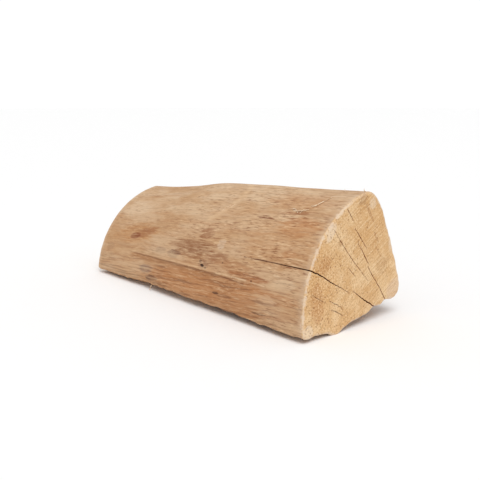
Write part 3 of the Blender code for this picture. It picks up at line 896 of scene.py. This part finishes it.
def outerColour(x, arc, angle, grain):
    low = angle.turn(148, 162)
    worn = angle.turn(155, 159) * x.ramp(-0.19, -0.16) * x.ramp(-0.02, -0.05)
    base = grain["blotch"].ramp(0.34, 0.66).tint("outerPale", "outerMid")
    base = (angle.turn(112, 138) * 0.42).tint(base, "outerFlank")
    base = (grain["band"].ramp(0.50, 0.72) * 0.40).tint(base, "outerWarm")
    base = addStainsAndLight(base, x, arc, [(at, onArc(degrees), *rest) for at, degrees, *rest in stainsAndPaintedLight], grain)
    inner = x.ramp(-0.200, -0.140) * x.ramp(-0.030, -0.065)
    base = (low * inner * 0.50).tint(base, "lowBand")
    base = addStainsAndLight(base, x, arc, [(at, onArc(degrees), *rest) for at, degrees, *rest in smallMarks], grain)
    # The ledge: a broad warm band below its line, partly the torn fibres' tone and partly painted shade of
    # the step, a painted shadow line on it and a pale ridge above, a painted highlight.
    past = tornLine(x, angle)
    ends = x.ramp(-0.206, -0.195) * x.ramp(-0.060, -0.110)
    fibresAndShadeBelowLedge = past.ramp(-0.3, 0.5) * past.ramp(6.0, 2.6) * ends * (0.35 + grain["rag"] * 0.5)
    base = fibresAndShadeBelowLedge.limited().tint(base, "ledgeFibresAndShade")
    shadowOnLedge = past.ramp(-0.3, 0.3) * past.ramp(1.8, 0.5) * ends * (0.2 + grain["rag"] * 0.8)
    shadowOnLedge = shadowOnLedge * (0.45 + 0.55 * x.ramp(-0.160, -0.130))
    base = shadowOnLedge.limited().tint(base, "ledgeShadowLine")
    # painted highlight along the lip of the ledge
    ridge = past.ramp(-2.6, -0.9) * past.ramp(-0.1, -0.5) * ends
    base = (ridge * 0.22 * (grain["rag"] + 0.5)).tint(base, "fleck")
    # Grain, rougher towards the near end and in patches, and lined along the low edge.
    rugged = (0.62 + 0.60 * x.ramp(-0.19, -0.06)) * (0.62 + 0.76 * grain["patch"].ramp(0.36, 0.62))
    places = {"lined": low * 0.30 + worn * 0.15 + 0.14, "rugged": rugged,
              "calm": rugged * (1 - low * 0.65), "small": rugged * (1 - low * 0.25)}
    base = addGrain(base, grain, outerGrain, places)
    lines = [((x0, onArc(at0)), (x1, onArc(at1)), *rest) for (x0, at0), (x1, at1), *rest in thinLines]
    base = addLines(base, x, arc, lines, grain)
    # A pale band bowed round the crown.
    bow = (angle - paleCrownBand["middle"]).math("POWER", 2.0) * paleCrownBand["bow"]
    away = (x + paleCrownBand["place"] - bow).math("ABSOLUTE") + (grain["rag"] - 0.5) * paleCrownBand["ragged"]
    band = away.ramp(paleCrownBand["half"], 0.0004) * angle.turn(138, 130) * angle.turn(101, 107)
    base = (band * paleCrownBand["strength"]).tint(base, "fleck")
    brink = x.ramp(-0.0065, -0.0012) + x.ramp(0.0065 - logShape["length"], 0.0012 - logShape["length"])
    return (brink * 0.34 * (grain["rag"] + 0.4)).limited().tint(base, "outerBrink")


def tornLine(x, angle):                # millimetres past the outer ledge's line, towards the low edge
    (x0, angle0), (x1, angle1) = ledges["outer"]["start"], ledges["outer"]["end"]
    slope = (angle1 - angle0) / (x1 - x0)
    return (angle - angle0 - (x - x0) * slope) * (logShape["trunkRadius"] * 1000)


def crackLines(path):                  # painted shade along one crack's mouth, as thin lines over the end face
    corners = path[::2] if len(path) % 2 else path[::2] + path[-1:]
    return [(start[:2], end[:2], endLips["half"], endLips["colour"], endLips["strength"])
            for start, end in zip(corners, corners[1:])]


def endColour(x, y, z, radius, grain):
    ring = (radius * woodLook["yearRings"] + grain["blotch"] * 10).sine()
    base = grain["cloud"].ramp(0.36, 0.64).tint("endPale", "endMid")
    marked = addStainsAndLight(base, y, z, endMarks, {"rag": grain["cloud"], "streak": grain["grit"]})
    lines = sum((crackLines(path) for path in cracks["near"]), [])
    marked = addLines(marked, y, z, lines, {"rag": grain["grit"]})
    base = x.ramp(-0.02, -0.01).tint(base, marked)
    base = (ring.ramp(-0.2, 1.0) * 0.10).tint(base, "endCloud")
    base = (grain["ray"].ramp(0.52, 0.74) * 0.28).tint(base, "sawLine")
    right = y.ramp(-0.070, -0.020)
    base = (grain["saw"].ramp(0.50, 0.68) * (0.14 + 0.34 * right)).tint(base, "sawLine")
    base = (grain["saw"].ramp(0.48, 0.30) * (0.16 + 0.34 * right)).tint(base, "endLit")
    speck = (grain["speck"] + (grain["cloud"] - 0.5) * 0.30 - right * 0.05).ramp(0.63, 0.72)
    base = (speck * 0.72).tint(base, "endSpeck")
    base = (grain["grit"].ramp(0.53, 0.70) * (0.62 - right * 0.22)).tint(base, "endSpeck")
    return (grain["grit"].ramp(0.47, 0.28) * (0.75 - right * 0.25)).tint(base, "endLit")


def splitColour(radius, crest, grain):
    more = {"crest": crest + (grain["streak"] - 0.5) * 0.8,
            "year": (radius * woodLook["splitRings"] + grain["blotch"] * 9).sine()}
    base = grain["blotch"].ramp(0.30, 0.70).tint("splitPale", "splitMid")
    return addGrain(base, {**grain, **more}, splitGrain)


def newMaterial(name):                 # the material, its shader and a wire in its nodes
    material = bpy.data.materials.new(name)
    material.use_nodes = True
    return material, material.node_tree.nodes["Principled BSDF"], Wire(material.node_tree)


def woodMaterial():
    material, shader, wire = newMaterial("weatheredWood")
    links = material.node_tree.links
    x, y, z = grainPlace(wire)
    radius = (y * y + z * z).math("SQRT")
    angle = z.math("ARCTAN2", y)
    length = logShape["length"]
    endGrain = (x.ramp(-0.0019, -0.0008) + x.ramp(0.0019 - length, 0.0008 - length)).limited()
    names = ("splitFace", "rimHighlightAndWear", "crest", "crackWallShade")
    splitFace, rimHighlightAndWear, crest, crackWallShade = (wire.attribute(name) for name in names)

    # Solid grain, seen along its length on the faces and cut across on the ends.
    sway = wire.at(x * 7, y * 10, z * 10).noise(1.0) * 0.005
    sway = sway + wire.at(x * 45, y * 40, z * 40).noise(1.0) * 0.0016
    grain = {}
    for table, v, w in ((sideNoise, y + sway, z + sway), (endNoise, y, z)):
        for kind, (along, across, shift, detail, rough) in table.items():
            grain[kind] = wire.at(x * along + shift, v * across, w * across).noise(detail, rough)
    cos, sin = math.cos(woodLook["sawTilt"]), math.sin(woodLook["sawTilt"])
    sawn = wire.at((y * cos + z * sin) * 45, (z * cos - y * sin) * 1150, x * 5)
    grain["saw"] = sawn.noise(2.0, 0.55)
    grain["ray"] = wire.at(angle * 75, radius * 16, x * 3).noise(2.0, 0.6)

    outer = outerColour(x, angle * logShape["trunkRadius"], angle, grain)
    torn = (splitFace + (grain["rag"] - 0.5) * 0.9 + (grain["band"] - 0.5) * 0.7).ramp(0.35, 0.65)
    base = torn.tint(outer, splitColour(radius, crest, grain))
    base = endGrain.tint(base, endColour(x, y, z, radius, grain))
    # The rim: a painted highlight along the rounded edge with pale chips of wear, stronger at the back and
    # fainter on the crown.
    back = y.ramp(-0.030, -0.010) * 0.25
    rim = rimHighlightAndWear + back + (grain["chipped"] - 0.5) * 0.9 + (grain["frayed"] - 0.5) * 1.3
    rim = rim.ramp(0.30, 0.85) * rimHighlightAndWear.ramp(0.06, 0.30)
    crown = angle.turn(122, 112) * angle.turn(97, 104)
    base = (rim * (0.74 - crown * 0.40)).tint(base, "rim")
    # the crack walls are painted dark brown, painted shade inside the cracks
    base = crackWallShade.tint(base, "crackWallShade")
    links.new(base.socket, shader.inputs["Base Color"])

    rough = woodLook["roughness"] + (grain["streak"] - 0.5) * 0.3 + endGrain * woodLook["endRougher"]
    links.new(rough.socket, shader.inputs["Roughness"])
    shader.inputs["Specular IOR Level"].default_value = 0.25
    faces = grain["band"] * -0.4 + grain["streak"] * -0.7 + grain["fine"] * -0.7
    ends = grain["saw"] * -0.6 + grain["ray"] * -0.2 + grain["speck"].ramp(0.60, 0.76) * -0.5
    height = faces * (1 - endGrain) + ends * endGrain
    settings = {"Height": height, "Distance": woodLook["bumpDepth"], "Strength": woodLook["bumpStrength"]}
    bump = wire.node("ShaderNodeBump", None, settings, out="Normal")
    links.new(bump.socket, shader.inputs["Normal"])
    return material


def splinterMaterial():
    material, shader, wire = newMaterial("looseFibre")
    x, y, z = grainPlace(wire)
    along = wire.at(x * 400, y * 900, z * 900).noise()
    mixed = along.ramp(0.35, 0.7).tint("splinter", "outerMid")
    material.node_tree.links.new(mixed.socket, shader.inputs["Base Color"])
    shader.inputs["Roughness"].default_value = 0.7
    return material


print("finishing the wood")
log.data.materials.clear()
log.data.materials.append(woodMaterial())
log.data.shade_smooth()
log.data.set_sharp_from_angle(angle=math.radians(50))
fibres.data.materials.append(splinterMaterial())
fibres.data.shade_smooth()
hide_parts("log")
for piece in (log, fibres):
    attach(piece, "root")

studio = {
    "floorSize": 60.0,
    "floorColour": (0.97, 0.97, 0.97, 1.0),
    "worldLight": 0.62,
    "backdropSeen": 1.05,              # the backdrop's brightness as the camera sees it
    "sunStrength": 1.57,
    "sunSoftness": math.radians(40),
    "sunFrom": (math.radians(60), math.radians(60)),      # azimuth, elevation
    "cameraPlace": (0.39328, -0.34381, 0.14636),
    "cameraFrom": (math.radians(48.10), math.radians(11.453)),
    "lens": 50.0,
    "sensor": 36.0,
}


def buildStudio():
    half = studio["floorSize"] / 2
    corners = np.array([[-half, -half, 0], [half, -half, 0], [half, half, 0], [-half, half, 0]])
    floor = meshFrom("floor", corners, [(0, 1, 2, 3)])
    paper, shader, _ = newMaterial("paleFloor")
    shader.inputs["Base Color"].default_value = studio["floorColour"]
    shader.inputs["Roughness"].default_value = 0.9
    floor.data.materials.append(paper)

    world = bpy.data.worlds.new("studioWorld")
    world.use_nodes = True
    bpy.context.scene.world = world
    backdrop = world.node_tree.nodes["Background"]
    backdrop.inputs["Color"].default_value = (1, 1, 1, 1)
    wire = Wire(world.node_tree)
    seen = wire.node("ShaderNodeLightPath", out="Is Camera Ray")
    strength = seen * (studio["backdropSeen"] - studio["worldLight"]) + studio["worldLight"]
    world.node_tree.links.new(strength.socket, backdrop.inputs["Strength"])

    sun = bpy.data.lights.new("softKey", "SUN")
    sun.energy = studio["sunStrength"]
    sun.angle = studio["sunSoftness"]
    key = placed("softKey", sun)
    key.rotation_euler = (math.pi / 2 - studio["sunFrom"][1], 0, studio["sunFrom"][0])

    camera = bpy.data.cameras.new("camera")
    camera.lens, camera.sensor_width, camera.clip_end = studio["lens"], studio["sensor"], 200.0
    view = placed("camera", camera)
    azimuth, elevation = studio["cameraFrom"]
    view.location = studio["cameraPlace"]
    view.rotation_euler = (math.pi / 2 - elevation, 0, azimuth)
    bpy.context.scene.camera = view
    bpy.context.scene.view_settings.view_transform = "Standard"
    bpy.context.scene.view_settings.look = "None"


print("setting up the studio")
buildStudio()
